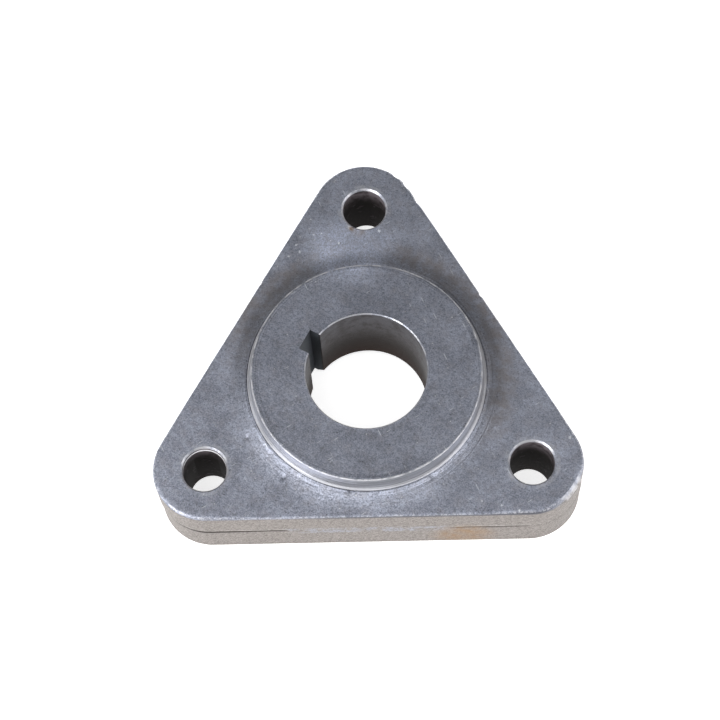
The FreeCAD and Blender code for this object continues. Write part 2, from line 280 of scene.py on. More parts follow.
# how far the rounded triangle reaches at an angle, when it is drawn in by an inset
def rimReach(angle, inset):
    offCorner = abs(angle - round(angle / sector) * sector)
    radius = cornerRadius - inset
    arcEnd = math.atan2(radius * math.sin(sector / 2), cornerCentre + radius * math.cos(sector / 2))
    if offCorner > arcEnd:
        return (sideDistance - inset) / math.cos(sector / 2 - offCorner)
    across = cornerCentre * math.sin(offCorner)
    return cornerCentre * math.cos(offCorner) + math.sqrt(radius ** 2 - across ** 2)


# rings of the flange from the foot of the boss out over the rim and back under it to the bore:
# share of the way from a circle to the outline, that circle, inset of the outline, height
def flangeRings(blendReach):
    c = casting
    top = c["flangeTop"]
    edge = c["rimRound"]
    backReach = boreRadius + c["backChamfer"]
    rings = [(row / c["topRows"], blendReach, edge, top) for row in range(1, c["topRows"] + 1)]
    for inset, level in arcPoints((edge, top - edge), edge, 90, 180, c["rimRows"])[1:]:
        rings.append((1, 0, inset, level))
    half = c["partingHalf"]
    upper = linePoints((0, top - edge), (0, c["partingHeight"] + half), c["wallRows"])
    lower = linePoints((0, c["partingHeight"] - half), (0, c["backEdge"]), c["wallRows"])
    rings += [(1, 0, inset, level) for inset, level in upper]
    rings.append((1, 0, c["partingDepth"], c["partingHeight"]))
    rings.append((1, 0, 0, c["partingHeight"] - half))
    rings += [(1, 0, inset, level) for inset, level in lower]
    rings.append((1, 0, c["backEdge"], 0))
    rings += [(1 - row / c["backRows"], backReach, c["backEdge"], 0) for row in range(1, c["backRows"] + 1)]
    return rings


# how much of the depth of the parting line is left at an angle
def seamShare(angle):
    fromMiddle = abs(math.remainder(angle - sector / 2, sector))
    along = sideDistance * math.tan(min(fromMiddle, sector / 2))
    if along < casting["dressedHalf"]:
        return casting["dressedSeam"]
    if rimReach(angle, 0) * math.cos(angle) > casting["seamEnd"]:
        return casting["fadedSeam"]
    return casting["cornerSeam"] if abs(angle) < sector / 2 else 1.0


# the edge is sharper along the sides than round the corners
def edgeShare(reach):
    start, end = [share * cadHigh.x for share in casting["edgeChange"]]
    share = min(1, max(0, (reach - start) / (end - start)))
    return casting["sideEdge"] + (1 - casting["sideEdge"]) * share


# how much of the wear of the corner on +X is found at a place on the rim
def wornShare(place):
    if place.x < cornerCentre:
        return 0
    turn = math.degrees(math.atan2(place.y, place.x - cornerCentre))
    return max(0, 1 - ((turn - casting["wornTurn"]) / casting["wornHalf"]) ** 2)


# place of a ring of the flange at an angle
def flangePlace(angle, ring, slip, blendReach):
    c = casting
    share, circle, inset, level = ring
    skinInset = c["upperInset"] if level > c["partingHeight"] else c["lowerInset"]
    drawnIn = inset * seamShare(angle) if level == c["partingHeight"] else inset
    drop = c["flangeTop"] - level
    fromEdge = 1 - drop / c["rimRound"]
    if fromEdge >= 0:           # the wear widens the round and flattens it
        rim = turned(angle) * rimReach(angle, 0)
        worn = wornShare(rim)
        flatter = worn * (c["rimRound"] - inset - drop) / 2
        growth = edgeShare(rim.length) + c["wornGrowth"] * worn
        drawnIn = (inset + flatter) * growth
        drop = (drop + flatter) * growth
    reach = circle + (rimReach(angle, skinInset + drawnIn) - circle) * share
    place = turned(angle) * reach + slip
    place.z = c["flangeTop"] - drop
    place.z += crown(reach, blendReach - c["blendRun"]) * max(0, fromEdge)
    return place


def makeFlange(piece, blendReach):
    c = casting
    slipWay = turned(math.radians(c["mouldShift"]))
    pick(piece, "VERT", lambda vert: vert.co.to_2d().length > blendReach - hair)
    lastSlip = Vector((0, 0, 0))
    for ring in flangeRings(blendReach):
        share, level = ring[0], ring[-1]
        # the halves of the mould met out of line
        slip = slipWay * share * (c["upperSlip"] if level > c["partingHeight"] else c["lowerSlip"])
        bpy.ops.mesh.extrude_edges_indiv()
        mesh = bmesh.from_edit_mesh(piece.data)
        for vert in mesh.verts:
            if vert.select:
                last = vert.co - lastSlip
                vert.co = flangePlace(math.atan2(last.y, last.x), ring, slip, blendReach)
        lastSlip = slip
        bmesh.update_edit_mesh(piece.data, loop_triangles=False, destructive=False)
    bpy.ops.mesh.select_all(action="SELECT")
    bpy.ops.mesh.remove_doubles(threshold=hair / 10)
    bpy.ops.mesh.normals_make_consistent(inside=False)
    bpy.ops.object.mode_set(mode="OBJECT")
    print("casting surface", len(piece.data.polygons), "faces")


def addWaves(piece, name, size, depth):
    waves = bpy.data.textures.new(name, "CLOUDS")
    waves.noise_scale = size
    waves.noise_depth = casting["waveDetail"]
    modifier = piece.modifiers.new(name, "DISPLACE")
    modifier.texture = waves
    modifier.texture_coords = "LOCAL"
    modifier.direction = "NORMAL"
    modifier.vertex_group = "castSkin"
    modifier.mid_level = 1.0
    modifier.strength = depth


# the cast skin is a little uneven, the wall of the boss less so, and the bore and the back are machined
def addCastSkin(piece, blendReach):
    c = casting
    group = piece.vertex_groups.new(name="castSkin")
    skinReach = boreRadius + 2 * c["mouthChamfer"]
    turnedStart = c["bossFace"] - c["turnedInside"]
    turnedEnd = blendReach - c["blendRun"] + c["turnedOutside"]
    for vert in piece.data.vertices:
        reach = vert.co.to_2d().length
        if vert.co.z > 2 * c["backEdge"] and reach > skinReach:
            isTurned = turnedStart < reach < turnedEnd
            group.add([vert.index], c["turnedWaves"] if isTurned else 1.0, "REPLACE")
    addWaves(piece, "castWaves", c["waveSize"], c["waveDepth"])
    addWaves(piece, "castRipple", c["rippleSize"], c["rippleDepth"])


# weights of the knocks, strongest at the middle of each
def addDents(piece):
    group = piece.vertex_groups.new(name="dents")
    for x, y, z, radius, share in dents:
        spot = Vector((x, y, z)) * mm
        for vert in piece.data.vertices:
            off = (vert.co - spot).length / (radius * mm)
            if off < 1:
                group.add([vert.index], share * (1 - off ** 2), "REPLACE")
    modifier = piece.modifiers.new("dents", "DISPLACE")
    modifier.direction = "NORMAL"
    modifier.vertex_group = "dents"
    modifier.mid_level = 0.0
    modifier.strength = -casting["dentDepth"]


def makeKeyCutter():
    c = casting
    deselectAll()
    bpy.ops.mesh.primitive_cube_add(size=1)
    cutter = bpy.context.object
    cutter.scale = (c["keyFloor"], 2 * c["keyHalf"], bossTop + 2 * c["overshoot"])
    cutter.location = (-c["keyFloor"] / 2, 0, bossTop / 2)
    bpy.ops.object.transform_apply(location=True, rotation=True, scale=True)
    return cutter


# a drill with a flared shoulder, which eases the mouth of the hole that it cuts, and with a
# waist set off its axis, which leaves a lip on one side of the hole
def makeBoltCutter(lip):
    c = casting
    lipLevel, lipRun = c["lipLevel"], c["lipRun"]
    over = c["overshoot"]
    start = lipLevel - 2 * lipRun
    deselectAll()
    bpy.ops.mesh.primitive_cylinder_add(vertices=c["holeSteps"], radius=boltHole,
                                        depth=start + over, location=(0, 0, (start - over) / 2))
    cutter = bpy.context.object
    bpy.ops.object.transform_apply(location=True, rotation=True, scale=True)
    pick(cutter, "FACE", lambda face: face.normal.z > 0.9)      # its top
    away = turned(math.radians(c["lipTurn"])) * -lip / 2
    rings = [(boltHole, start, 0), (boltHole - lip / 2, lipLevel - lipRun / 2, 1),
             (boltHole - lip / 2, lipLevel, 1), (boltHole, lipLevel + lipRun, 0)]
    easing = c["mouthEasing"]
    flareStart = c["flangeTop"] - c["holeMouth"]
    flare = arcPoints((boltHole + easing, flareStart), easing, 180, 135, c["flareRows"])
    lastReach, lastLevel = flare[-1]
    flare.append((lastReach + c["holeMouth"], lastLevel + c["holeMouth"]))
    flare.append((flare[-1][0], flare[-1][1] + over))
    rings += [(reach, level, 0) for reach, level in flare]
    for (fromReach, fromLevel, fromShift), (reach, level, shift) in zip(rings, rings[1:]):
        move = away * (shift - fromShift) + Vector((0, 0, level - fromLevel))
        bpy.ops.mesh.extrude_region_move(TRANSFORM_OT_translate={"value": move})
        scale = reach / fromReach
        bpy.ops.transform.resize(value=(scale, scale, 1), center_override=away * shift)
    bpy.ops.object.mode_set(mode="OBJECT")
    return cutter


def cutAway(piece, cutter):
    cut = piece.modifiers.new("cut", "BOOLEAN")
    cut.operation = "DIFFERENCE"
    cut.solver = "EXACT"
    cut.object = cutter
    applyAll(piece)
    bpy.data.objects.remove(cutter)


def makeCasting():
    c = casting
    piece, blendReach = makeTurnedSurface()
    makeFlange(piece, blendReach)
    addCastSkin(piece, blendReach)
    addDents(piece)
    applyAll(piece)
    cutAway(piece, makeKeyCutter())
    for hole, lip in enumerate(c["lips"]):
        drill = makeBoltCutter(lip)
        drill.location = turned(sector * hole) * boltCircle
        drill.rotation_euler.z = math.radians(c["drillTurn"])
        bpy.ops.object.transform_apply(location=True, rotation=True, scale=True)
        cutAway(piece, drill)
    activate(piece)
    bpy.ops.object.shade_smooth_by_angle(angle=math.radians(c["smoothAngle"]))
    piece.name = "adapterCasting"
    piece.data.name = "adapterCasting"
    print("casting cut,", len(piece.data.polygons), "faces")
    return piece


def addNode(tree, kind, **settings):
    node = tree.nodes.new("ShaderNode" + kind)
    for name, value in settings.items():
        setattr(node, name, value)
    return node


# links a socket, or sets a number or a colour on it
def feed(tree, socket, value):
    if isinstance(value, bpy.types.NodeSocket):
        tree.links.new(value, socket)
    else:
        socket.default_value = value


def addNoise(tree, place, scale, detail, rough):
    noise = addNode(tree, "TexNoise")
    feed(tree, noise.inputs["Vector"], place)
    noise.inputs["Scale"].default_value = scale
    noise.inputs["Detail"].default_value = detail
    noise.inputs["Roughness"].default_value = rough
    return noise.outputs["Fac"]


# smooth step from one level to another while the value runs between two bounds
def addStep(tree, value, low, high, start=0.0, end=1.0):
    step = addNode(tree, "MapRange", interpolation_type="SMOOTHSTEP")
    feed(tree, step.inputs["Value"], value)
    for name, number in zip(("From Min", "From Max", "To Min", "To Max"), (low, high, start, end)):
        step.inputs[name].default_value = number
    return step.outputs["Result"]


# one operation on two values, or on more in turn
def addMath(tree, operation, value, *others):
    for other in others:
        node = addNode(tree, "Math", operation=operation)
        feed(tree, node.inputs[0], value)
        feed(tree, node.inputs[1], other)
        value = node.outputs["Value"]
    return value


# a band that is 1 between two values and fades out beyond each of them
def addBand(tree, value, low, high, fade):
    rise = addStep(tree, value, low - fade, low)
    return addMath(tree, "MULTIPLY", rise, addStep(tree, value, high + fade, high))


# a number between two others
def addBlend(tree, factor, first, second):
    node = addNode(tree, "Mix", data_type="FLOAT")
    feed(tree, node.inputs[0], factor)
    feed(tree, node.inputs[2], first)
    feed(tree, node.inputs[3], second)
    return node.outputs[0]


def addMix(tree, factor, first, second, blend="MIX"):
    node = addNode(tree, "Mix", data_type="RGBA", blend_type=blend)
    feed(tree, node.inputs["Factor"], factor)
    feed(tree, node.inputs[6], first)
    feed(tree, node.inputs[7], second)
    return node.outputs[2]


# makes a colour lighter or darker by a number
def addTone(tree, colour, tone):
    grey = addNode(tree, "CombineColor")
    for channel in grey.inputs:
        feed(tree, channel, tone)
    return addMix(tree, 1.0, colour, grey.outputs["Color"], "MULTIPLY")


def addDistance(tree, place, spot):
    node = addNode(tree, "VectorMath", operation="DISTANCE")
    feed(tree, node.inputs[0], place)
    node.inputs[1].default_value = spot
    return node.outputs["Value"]


# how far a place lies from the bore axis in a direction
def addAlong(tree, place, degrees):
    node = addNode(tree, "VectorMath", operation="DOT_PRODUCT")
    feed(tree, node.inputs[0], place)
    node.inputs[1].default_value = turned(math.radians(degrees))
    return node.outputs["Value"]


# how far a value in millimetres is past one of the sizes of the casting
def addPast(tree, value, size):
    return addMath(tree, "SUBTRACT", value, size / mm)


# what all the finishes share: noises are cells per millimetre, detail and roughness
iron = {
    "bright": (0.72, 0.72, 0.75, 1),        # rubbed metal, also a painted highlight on the bore mouth and the boss edge
    "stain": (0.22, 0.195, 0.185, 1),       # brown film
    "grain": (1.7, 3, 0.6),
    "pepper": (3.4, 1, 0.5),
    "pepperShare": 0.4,                     # of the grain
    "blotch": (0.16, 4, 0.6),
    "patch": (0.45, 3, 0.6),
    "streak": (3.5, 2, 0.6),
    "streakDrift": 0.03,                    # how much the turned lines change across the boss
    "specular": 0.15,
    "grainRough": (0.3, 0.7, 0.58, 0.46),   # from the hollows to the tips
    "rubbedRough": 0.44,
    "turnedRough": 0.42,
    "dirtRough": 0.75,
    "grainHeight": 0.07 * mm,
    "grainStrength": (0.5, 0.05),           # on the skin and on the wall of the boss
    "toolMarkHeight": 0.045 * mm,
}


# what the masks follow, in millimetres: place, distances from the bore axis, from the nearest bolt axis
# and from the middle of the nearest side, and how far each is past the surfaces, then the noises
def addPlaces(tree):
    c = casting
    scaled = addNode(tree, "Mapping")
    scaled.inputs["Scale"].default_value = (1 / mm, 1 / mm, 1 / mm)
    feed(tree, scaled.inputs["Vector"], addNode(tree, "TexCoord").outputs["Object"])
    at = {"place": scaled.outputs["Vector"]}
    split = addNode(tree, "SeparateXYZ")
    feed(tree, split.inputs["Vector"], at["place"])
    at["x"] = split.outputs["X"]
    at["height"] = split.outputs["Z"]
    flat = addNode(tree, "VectorMath", operation="MULTIPLY")
    feed(tree, flat.inputs[0], at["place"])
    flat.inputs[1].default_value = (1, 1, 0)
    at["flat"] = flat.outputs["Vector"]
    at["reach"] = addDistance(tree, at["flat"], (0, 0, 0))
    bolts = [turned(sector * hole) * boltCircle / mm for hole in range(boltCount)]
    middles = [turned(sector * (side + 0.5)) * sideDistance / mm for side in range(boltCount)]
    at["fromBolt"] = addMath(tree, "MINIMUM", *[addDistance(tree, at["flat"], bolt) for bolt in bolts])
    at["fromMiddle"] = addMath(tree, "MINIMUM", *[addDistance(tree, at["flat"], spot) for spot in middles])

    at["overTop"] = addPast(tree, at["height"], c["flangeTop"])
    at["overBoss"] = addPast(tree, at["height"], bossTop)
    at["overSeam"] = addPast(tree, at["height"], c["partingHeight"])
    at["overLip"] = addPast(tree, at["height"], c["lipLevel"])
    at["offBoss"] = addPast(tree, at["reach"], c["bossFace"])
    at["offBore"] = addPast(tree, at["reach"], boreRadius)
    at["offKey"] = addPast(tree, at["reach"], c["keyFloor"])
    at["offHole"] = addPast(tree, at["fromBolt"], boltHole)
    at["offDressed"] = addPast(tree, at["fromMiddle"], c["dressedHalf"])
    at["pastSeam"] = addPast(tree, at["x"], c["seamEnd"])

    rings = addNode(tree, "CombineXYZ")
    feed(tree, rings.inputs["X"], at["reach"])
    feed(tree, rings.inputs["Y"], at["height"])
    feed(tree, rings.inputs["Z"], addMath(tree, "MULTIPLY", at["x"], iron["streakDrift"]))
    at["streak"] = addNoise(tree, rings.outputs["Vector"], *iron["streak"])
    grain = addMath(tree, "MULTIPLY", addNoise(tree, at["place"], *iron["grain"]), 1 - iron["pepperShare"])
    pepper = addMath(tree, "MULTIPLY", addNoise(tree, at["place"], *iron["pepper"]), iron["pepperShare"])
    at["grain"] = addMath(tree, "ADD", grain, pepper)
    at["blotch"] = addNoise(tree, at["place"], *iron["blotch"])
    at["patch"] = addNoise(tree, at["place"], *iron["patch"])
    return at


# in the finishes a band is from, to and fade, and a step is from, to and the level at each of them,
# in millimetres where it follows a place
skin = {
    "dark": (0.162, 0.172, 0.206, 1),       # hollows of the cast grain
    "light": (0.39, 0.414, 0.495, 1),       # its tips
    "grainTips": (0.24, 0.8),
    "stainPatches": (0.4, 0.75, 0.0, 0.22),
    "ringTone": (0.5, 1.5, 1.0, 1.3),       # off the boss, where the ring round it is lighter
    "outerTone": (3.0, 8.0, 1.0, 0.9),
    "blotchTone": (0.3, 0.7, 0.86, 1.14),
    "pit": (0.06, 0.062, 0.075, 1),
    "pits": (1.3, 0.3, 0.3),                # cells per millimetre, radius in a cell, share of the cells
    "pitStrength": 0.5,
    "speck": (0.8, 0.82, 0.86, 1),
    "specks": (1.3, 0.26, 0.14),
    "speckPatches": (0.45, 0.6),
    "speckStrength": 0.65,
    # turn of the scratches in degrees, and their cells per millimetre along and across
    "scratches": [(35.0, 0.22, 2.4), (-62.0, 0.3, 3.0)],
    "scratchDots": (1.0, 0.24, 0.05),       # as the pits, in those cells
    "dotFade": 0.02,                        # of the share, where dots are fainter
    "nickWaver": (0.35, 0.65, 1.5, 0.7),
    "nickLevel": (-0.5, -0.3),              # over the flange
    # x, y and radius of each bright nick
    "nicks": [
        (-26.8, 18.4, 0.4), (-28.3, 19.4, 0.35), (-28.4, 16.4, 0.4), (-28.6, 26.3, 0.3),
        (-26.2, 23.4, 0.3), (-24.9, 24.4, 0.25), (-20.4, 24.2, 0.35), (-14.2, 30.9, 0.4),
        (43.4, 8.6, 0.35), (34.0, -12.3, 0.25), (37.9, -11.2, 0.3), (41.5, -10.4, 0.3),
    ],
}


# dots round the middles of some of the cells of a pattern
def addDots(tree, place, scale, radius, share):
    cells = addNode(tree, "TexVoronoi")
    feed(tree, cells.inputs["Vector"], place)
    cells.inputs["Scale"].default_value = scale
    split = addNode(tree, "SeparateColor")
    feed(tree, split.inputs["Color"], cells.outputs["Color"])
    kept = addStep(tree, split.outputs["Red"], 1 - share, 1 - share + skin["dotFade"])
    return addMath(tree, "MULTIPLY", addStep(tree, cells.outputs["Distance"], radius, radius / 2), kept)


def addScratches(tree, place):
    lines = []
    for turn, along, across in skin["scratches"]:
        spun = addNode(tree, "Mapping")
        spun.inputs["Rotation"].default_value = (0, 0, math.radians(turn))
        feed(tree, spun.inputs["Vector"], place)
        stretched = addNode(tree, "Mapping")
        stretched.inputs["Scale"].default_value = (along, across, along)
        feed(tree, stretched.inputs["Vector"], spun.outputs["Vector"])
        lines.append(addDots(tree, stretched.outputs["Vector"], *skin["scratchDots"]))
    return addMath(tree, "MAXIMUM", *lines)


def addNicks(tree, at):
    marks = []
    for x, y, radius in skin["nicks"]:
        away = addDistance(tree, at["flat"], (x, y, 0))
        wavy = addMath(tree, "MULTIPLY", away, addStep(tree, at["grain"], *skin["nickWaver"]))
        marks.append(addStep(tree, wavy, radius, radius / 2))
    level = addStep(tree, at["overTop"], *skin["nickLevel"])
    return addMath(tree, "MULTIPLY", addMath(tree, "MAXIMUM", *marks), level)


# blue grey skin of the flats, with pits, bright tips, scratches and nicks
def addSkin(tree, at):
    colour = addMix(tree, addStep(tree, at["grain"], *skin["grainTips"]), skin["dark"], skin["light"])
    colour = addMix(tree, addStep(tree, at["patch"], *skin["stainPatches"]), colour, iron["stain"])
    tone = addMath(tree, "MULTIPLY",
                   addStep(tree, at["offBoss"], *skin["ringTone"]),
                   addStep(tree, at["offBoss"], *skin["outerTone"]),
                   addStep(tree, at["blotch"], *skin["blotchTone"]))
    colour = addTone(tree, colour, tone)
    pits = addMath(tree, "MULTIPLY", addDots(tree, at["place"], *skin["pits"]), skin["pitStrength"])
    colour = addMix(tree, pits, colour, skin["pit"])
    specks = addMath(tree, "MULTIPLY",
                     addDots(tree, at["place"], *skin["specks"]),
                     addStep(tree, at["patch"], *skin["speckPatches"]))
    specks = addMath(tree, "MAXIMUM", specks, addScratches(tree, at["place"]), addNicks(tree, at))
    return addMix(tree, addMath(tree, "MULTIPLY", specks, skin["speckStrength"]), colour, skin["speck"])


# distances are off the edge of the boss face, unless they say otherwise
bossFinish = {
    "turned": (0.5, 0.505, 0.535, 1),       # wall and foot of the boss
    "side": (0.16, 1.07, 0.08),
    "sideShare": 0.85,
    "sideDull": 0.22,
    "lines": (-0.1, 1.6, 2.0),
    "lineTone": (0.3, 0.7, 0.7, 1.3),
    "toolMarks": (1.2, 3.5, 2.5),
    "ring": (1.4, 3.0, 3.0),
    "ringSmoother": 0.17,
    "crease": (0.07, 0.065, 0.07, 1),
    "creaseBand": (1.14, 1.26, 0.06),
    "creasePatches": (0.3, 0.6, 0.3, 0.8),
    "creaseTurn": 255.0,                    # degrees, the side where the crease is darker
    "creaseSide": (0.0, 18.0),              # that way from the bore axis
    "filmBand": (0.0, 5.5, 3.0),
    "filmOutward": (1.0, 4.5, 0.8, 1.4),
    "filmPatches": (0.3, 0.65, 0.15, 0.42),
    "filmShadeTurn": 100.0,                      # degrees, the side of the boss with the brown film, which also paints shade on the side away from the lamps
    "filmShadeSide": (-10.0, 4.0),               # that way from the bore axis
    "filmLevel": (-0.09, -0.34),            # over the boss
    "highlightSpot": (-17.2, 23.4, 0.0),        # middle of a painted highlight on one side of the ring, where the film is left out
    "highlightRadius": 12.5,                    # round that spot
    "highlightTone": (1.48, 1.5, 1.53, 1),        # times the skin there, the painted highlight
}


# turned wall and foot with their streaks, the crease, and the brown film on one side of the ring, partly a
# stain and partly painted shade, with a painted highlight left out of it
def addBoss(tree, at, colour):
    f = bossFinish
    # painted highlight: the skin is lighter round one spot, and the film is left out there
    fromHighlight = addDistance(tree, at["flat"], f["highlightSpot"])
    clear = addStep(tree, fromHighlight, f["highlightRadius"], f["highlightRadius"] / 3)
    colour = addMix(tree, clear, colour, f["highlightTone"], "MULTIPLY")
    at["bossSide"] = addBand(tree, at["offBoss"], *f["side"])
    colour = addMix(tree, addMath(tree, "MULTIPLY", at["bossSide"], f["sideShare"]), colour, f["turned"])
    # brown film on one side of the ring and wall: partly a stain, partly painted shade on the side away
    # from the lamps
    filmAndShade = addMath(tree, "MULTIPLY",
                   addBand(tree, at["offBoss"], *f["filmBand"]),
                   addStep(tree, at["offBoss"], *f["filmOutward"]),
                   addStep(tree, at["patch"], *f["filmPatches"]),
                   addStep(tree, addAlong(tree, at["place"], f["filmShadeTurn"]), *f["filmShadeSide"]),
                   addStep(tree, at["overBoss"], *f["filmLevel"]),
                   addMath(tree, "SUBTRACT", 1.0, clear))
    colour = addMix(tree, filmAndShade, colour, iron["stain"])
    streaks = addStep(tree, at["streak"], *f["lineTone"])
    lines = addBand(tree, at["offBoss"], *f["lines"])
    colour = addTone(tree, colour, addBlend(tree, lines, 1.0, streaks))
    crease = addMath(tree, "MULTIPLY",
                     addBand(tree, at["offBoss"], *f["creaseBand"]),
                     addStep(tree, at["patch"], *f["creasePatches"]),
                     addStep(tree, addAlong(tree, at["place"], f["creaseTurn"]), *f["creaseSide"]))
    return addMix(tree, crease, colour, f["crease"])


rimFinish = {
    "dark": (0.158, 0.14, 0.13, 1),
    "light": (0.29, 0.264, 0.247, 1),
    "grainTips": (0.3, 0.7),
    "level": (-0.4, -0.9),                  # over the flange
    "dressed": (0.29, 0.3, 0.34, 1),        # where the flash was dressed off
    "dressedSide": (1.5, -1.5),             # past the dressed middle of a side
    "dressedBand": (-1.6, 0.8, 0.8),        # over the parting line
    "dressedPatches": (0.4, 0.56, 0.05, 1.0),
    "dressedGrain": (0.42, 0.56, 0.25, 0.9),
    # dark parting line, also the painted shadow under its overhanging step
    "seamAndShadow": (0.04, 0.033, 0.03, 1),
    "seamBlur": 0.1,
    "seamSide": (-1.0, 1.0, 0.05, 1.0),     # past the dressed middle of a side
    "seamFade": (-1.5, 1.0, 1.0, 0.1),      # past the end of the parting line
    "seamTone": (-25.0, 10.0, 0.95, 0.65),  # from the axis, the way the mould slipped; darker where the upper half overhangs, as painted shadow
    "lit": (0.42, 0.39, 0.375, 1),          # painted highlight on the upper lip of the parting line, where its ledge catches the light
    "litBand": (0.15, 0.35, 0.15),          # over its upper edge
    "litPatches": (0.35, 0.6, 0.1, 0.7),
    "stepBand": (-0.4, 0.0, 0.12),          # over its lower edge
    "stepSide": (-22.0, -32.0, 0.1, 0.9),   # from the axis, the way the mould slipped
    "stepFront": (8.0, 16.0),               # from the axis, a right angle before that
}


# rim in a warm grey, with the parting line and the dressed middle of each side
def addRim(tree, at):
    f = rimFinish
    half = casting["partingHalf"] / mm
    overUpper = addMath(tree, "SUBTRACT", at["overSeam"], half)
    overLower = addMath(tree, "ADD", at["overSeam"], half)
    colour = addMix(tree, addStep(tree, at["grain"], *f["grainTips"]), f["dark"], f["light"])
    dressed = addMath(tree, "MULTIPLY",
                      addStep(tree, at["offDressed"], *f["dressedSide"]),
                      addBand(tree, at["overSeam"], *f["dressedBand"]),
                      addStep(tree, at["patch"], *f["dressedPatches"]),
                      addStep(tree, at["grain"], *f["dressedGrain"]))
    colour = addMix(tree, dressed, colour, f["dressed"])
    remains = addMath(tree, "MULTIPLY",
                      addStep(tree, at["offDressed"], *f["seamSide"]),
                      addStep(tree, at["pastSeam"], *f["seamFade"]))
    # painted highlight along the upper lip of the parting line
    lit = addMath(tree, "MULTIPLY",
                  addBand(tree, overUpper, *f["litBand"]),
                  addStep(tree, at["patch"], *f["litPatches"]), remains)
    colour = addMix(tree, lit, colour, f["lit"])
    slipped = addAlong(tree, at["place"], casting["mouldShift"])
    forward = addAlong(tree, at["place"], casting["mouldShift"] - 90)
    # dark parting line, darker as painted shadow on the side where the upper half overhangs
    seamAndShadow = addMath(tree, "MULTIPLY",
                   addBand(tree, at["overSeam"], -half, half, f["seamBlur"]),
                   addStep(tree, slipped, *f["seamTone"]), remains)
    # painted shadow under the step at the front corner that the lower half slipped away from
    under = addMath(tree, "MULTIPLY",
                    addBand(tree, overLower, *f["stepBand"]),
                    addStep(tree, slipped, *f["stepSide"]),
                    addStep(tree, forward, *f["stepFront"]), remains)
    at["seamAndShadow"] = addMath(tree, "MAXIMUM", seamAndShadow, under)
    return addMix(tree, at["seamAndShadow"], colour, f["seamAndShadow"])


# levels are over the flange and distances from the bolt axis, unless they say otherwise
edgeFinish = {
    "dirt": (0.1, 0.1, 0.115, 1),
    "dirtBand": (-1.05, -0.34, 0.08),
    "dirtHole": (6.0, 7.0),
    "dirtReach": (49.0, 46.0),              # from the bore axis
    "dirtSide": (-2.0, 14.0, 0.2, 0.95),    # along x
    "rimBand": (-0.3, -0.14, 0.05),
    "rimHole": (14.0, 10.0, 0.45, 0.6),
    "rimGrain": (0.45, 0.58, 0.1, 1.3),
    "mouthBand": (-0.55, -0.1, 0.08),
    "mouthHole": (6.0, 5.6),
    "boreBand": (-0.12, 0.23, 0.05),        # off the bore
    "boreLevel": (-0.26, -0.16, 0.0, 0.8),  # over the boss
    "bossBand": (-0.12, 0.16, 0.06),        # off the boss face
    "bossLevel": (-0.44, -0.24),            # over the boss
    "wornBand": (-1.1, -0.15, 0.1),
    "wornReach": (6.5, 2.5, 0.0, 0.6),      # from the middle of the worn corner
    "rubbedPatches": (0.38, 0.6, 0.2, 0.9),
}


# dirt under the long edges of the flange, and rubbed bright edges: its rim, the mouths, the boss, the worn
# corner; on the bore mouth and the boss edge the bright colour is also a painted highlight
def addEdges(tree, at, colour):
    f = edgeFinish
    dirt = addMath(tree, "MULTIPLY",
                   addBand(tree, at["overTop"], *f["dirtBand"]),
                   addStep(tree, at["reach"], *f["dirtReach"]),
                   addStep(tree, at["fromBolt"], *f["dirtHole"]),
                   addStep(tree, at["x"], *f["dirtSide"]))
    colour = addMix(tree, dirt, colour, f["dirt"])
    rim = addMath(tree, "MULTIPLY",
                  addBand(tree, at["overTop"], *f["rimBand"]),
                  addStep(tree, at["fromBolt"], *f["rimHole"]),
                  addStep(tree, at["grain"], *f["rimGrain"]))
    mouth = addMath(tree, "MULTIPLY",
                    addBand(tree, at["overTop"], *f["mouthBand"]),
                    addStep(tree, at["fromBolt"], *f["mouthHole"]))
    bore = addMath(tree, "MULTIPLY",
                   addBand(tree, at["offBore"], *f["boreBand"]),
                   addStep(tree, at["overBoss"], *f["boreLevel"]))
    boss = addMath(tree, "MULTIPLY",
                   addBand(tree, at["offBoss"], *f["bossBand"]),
                   addStep(tree, at["overBoss"], *f["bossLevel"]))
    wornWay = turned(math.radians(casting["wornTurn"])) * cornerRadius
    wornMiddle = (wornWay + Vector((cornerCentre, 0, casting["flangeTop"]))) / mm
    worn = addMath(tree, "MULTIPLY",
                   addBand(tree, at["overTop"], *f["wornBand"]),
                   addStep(tree, addDistance(tree, at["place"], wornMiddle), *f["wornReach"]))
    # the bright bore mouth and boss edge are painted highlights as well as rubbed metal
    edges = addMath(tree, "MAXIMUM", rim, mouth, bore, boss, worn)
    at["rubbed"] = addMath(tree, "MULTIPLY", edges, addStep(tree, at["patch"], *f["rubbedPatches"]))
    return addMix(tree, at["rubbed"], colour, iron["bright"])


rustFinish = {
    "rust": (0.26, 0.16, 0.078, 1),
    "patches": (0.35, 0.65),
    # millimetres: place and radius of each spot, and how strong it is
    "spots": [
        ((32.3, -16.8, 4.0), 8.5, 0.85),
        ((-19.7, 28.6, 17.9), 0.8, 0.9),
        ((-18.0, 29.2, 17.7), 2.6, 0.3),
    ],
}


def addRust(tree, at, colour):
    for spot, radius, strength in rustFinish["spots"]:
        rust = addMath(tree, "MULTIPLY",
                       addStep(tree, addDistance(tree, at["place"], spot), radius, radius / 4),
                       addStep(tree, at["patch"], *rustFinish["patches"], strength / 2, strength))
        colour = addMix(tree, rust, colour, rustFinish["rust"])
    return colour


